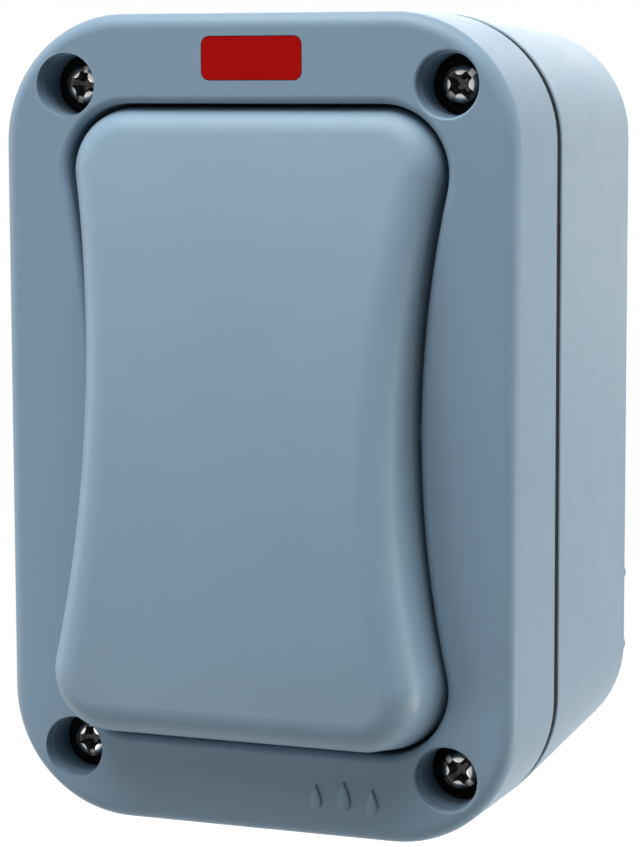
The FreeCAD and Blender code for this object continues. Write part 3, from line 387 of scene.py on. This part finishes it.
# Pieces that stand for, or sit on, the solids
def make_cover_screws():
    """Pan heads with a combined cross and slot, deep in their bores, on threaded shanks."""
    radius, height, edge_round, round_steps = 2.8, 2.4, 1.05, 8
    profile = [(0.6, 0.0), (2.62, 0.0), (2.74, 0.08), (radius, 0.22), (radius, height - edge_round)]
    for n in range(1, round_steps + 1):
        angle = math.radians(90 * n / round_steps)
        profile.append((radius - edge_round * (1 - math.cos(angle)),
                        height - edge_round * (1 - math.sin(angle))))
    profile += [(1.2, height + 0.02), (0.5, height + 0.03)]
    head = lathe("screw_head", profile, 72)
    cut_away(head, [
        cross_cutter("cross", height, ((0.3, 1.06), (0.0, 1.0), (-1.0, 0.90), (-1.95, 0.46))),
        wedge("slot", (3.3, 0.55), (3.3, 0.52), height + 0.4, height - 0.85),
    ])
    edge = head.modifiers.new("edge", "BEVEL")
    edge.width = 0.05 * MM
    edge.segments = 2
    edge.limit_method = "ANGLE"
    edge.angle_limit = math.radians(38)
    applied(head)
    shank = threaded_shank("shank", core=1.2, crest=1.49, pitch=0.7, length=21.4, steps=28)
    screws = at_screws("threaded_cover_screws", [head, shank], turned=True)
    smooth(screws, 32)
    screws.data.materials.append(looks["driven_steel"])
    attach(screws, "enclosure")
    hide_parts("cover_screws")


def make_shading_screw_seals():
    """Black rubber washers on the floors of the bores, round the heads; they also serve as painted
    shade, darkening the deep bores.
    """
    hole, wall, thickness = 2.86, 4.40, 0.95
    side, shoulder = thickness - 0.25, thickness - 0.1
    profile = [(hole, 0.0), (wall, 0.0), (wall, side), (wall - 0.1, shoulder),
               (wall - 0.35, thickness), (hole + 0.35, thickness), (hole + 0.1, shoulder),
               (hole, side)]
    # Painted shade: these black rings darken the floors of the bores, where the shade falls.
    ring = lathe("shading_screw_seal", profile, 64, hollow=True)
    shading_seals = at_screws("shading_screw_seals", [ring], turned=False)
    smooth(shading_seals, 40)
    shading_seals.data.materials.append(looks["seal_rubber"])
    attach(shading_seals, "enclosure")


def make_drops():
    """Three raised rain drops, a plain sign for use outdoors, low on the right of the cover."""
    base, rows, steps = 66.9, 6, 40
    foot, rise, narrowing = 0.1, 0.34, 0.22
    width, height = 0.62, 0.95
    verts, faces = [], []
    for across, up, size in ((9.6, -53.9, 2.0), (14.0, -53.5, 2.35), (18.4, -53.9, 2.0)):
        faces += skin(rows, steps, len(verts))
        for row in range(rows):
            lean = math.radians(90 * row / (rows - 1))
            shrink = 1 - narrowing * (1 - math.cos(lean))
            lift = foot + rise * math.sin(lean)
            for n in range(steps):
                angle = math.tau * n / steps
                wide = width * math.sin(angle) * math.sin(angle / 2) ** 1.4
                tall = height * math.cos(angle)
                verts.append((across + wide * size * shrink, -(base + lift),
                              up + tall * size * shrink))
    drops = mesh_object("rain_drops", verts, faces)
    smooth(drops, 50)
    drops.data.materials.append(looks["housing_plastic"])
    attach(drops, "enclosure")


# Light; places and sizes are in metres
WHITE, WARM = (1.0, 1.0, 1.0), (1.0, 0.985, 0.93)
LAMP_TARGET = Vector((0, -0.04, 0))
LAMPS = (
    ("top_light", (0.0, -0.28, 0.80), (0.9, 0.55), 12.2, WHITE),
    ("front_top_light", (-0.10, -0.75, 0.85), (0.9, 0.5), 3.3, WHITE),
    ("right_light", (0.80, 0.20, -0.40), (0.7, 0.5), 8.8, WARM),
    ("right_back_light", (0.85, 0.30, -0.12), (0.5, 0.6), 2.4, WARM),
    ("left_low_light", (-0.70, -0.80, -0.35), (0.6, 0.5), 3.8, WHITE),
    ("left_edge_light", (-0.90, -0.12, 0.05), (0.5, 0.8), 3.0, WHITE),
    ("back_light", (-0.20, 1.30, 0.35), (1.0, 1.0), 7.0, WHITE),
)


def area_lamp(name, place, size, watts, colour):
    data = bpy.data.lights.new(name, "AREA")
    data.shape = "RECTANGLE"
    data.size, data.size_y = size
    data.energy = watts
    data.color = colour
    lamp = linked(name, data)
    lamp.location = place
    lamp.rotation_euler = (LAMP_TARGET - Vector(place)).to_track_quat("-Z", "Y").to_euler()


def seen_directly(tree):
    """1 for rays from the camera, a gloss or a clear piece, which see the pale surroundings."""
    path = tree.nodes.new("ShaderNodeLightPath")
    seen = path.outputs["Is Camera Ray"]
    for name in ("Is Glossy Ray", "Is Transmission Ray"):
        either = tree.nodes.new("ShaderNodeMath")
        either.operation = "MAXIMUM"
        tree.links.new(seen, either.inputs[0])
        tree.links.new(path.outputs[name], either.inputs[1])
        seen = either.outputs[0]
    return seen


def make_world(strength):
    """White where it is seen directly, and a faint fill light elsewhere."""
    world = bpy.data.worlds.new("studio")
    bpy.context.scene.world = world
    world.use_nodes = True
    tree = world.node_tree
    back = tree.nodes["Background"]
    back.inputs["Color"].default_value = (1, 1, 1, 1)
    level = tree.nodes.new("ShaderNodeMapRange")
    level.inputs["To Min"].default_value = strength
    level.inputs["To Max"].default_value = 1.0
    tree.links.new(seen_directly(tree), level.inputs["Value"])
    tree.links.new(level.outputs["Result"], back.inputs["Strength"])


def make_floor(drop):
    """A pale floor well below the switch, which hangs on a wall."""
    bpy.ops.mesh.primitive_plane_add(size=12, location=(0, 0, -drop))
    floor = bpy.context.object
    floor.name = "floor"
    material = bpy.data.materials.new("pale_floor")
    material.use_nodes = True
    tree = material.node_tree
    shader = tree.nodes["Principled BSDF"]
    shader.inputs["Base Color"].default_value = (0.4, 0.4, 0.4, 1)
    shader.inputs["Roughness"].default_value = 0.9
    shader.inputs["Emission Color"].default_value = (1, 1, 1, 1)
    level = tree.nodes.new("ShaderNodeMath")
    level.operation = "MULTIPLY"
    level.inputs[1].default_value = 0.9
    tree.links.new(seen_directly(tree), level.inputs[0])
    tree.links.new(level.outputs[0], shader.inputs["Emission Strength"])
    floor.data.materials.append(material)


make_camera()
dress_nodes()
make_cover_screws()
make_shading_screw_seals()
make_drops()
make_world(0.06)
make_floor(0.45)
for lamp_row in LAMPS:
    area_lamp(*lamp_row)

bpy.context.scene.view_settings.view_transform = "Standard"
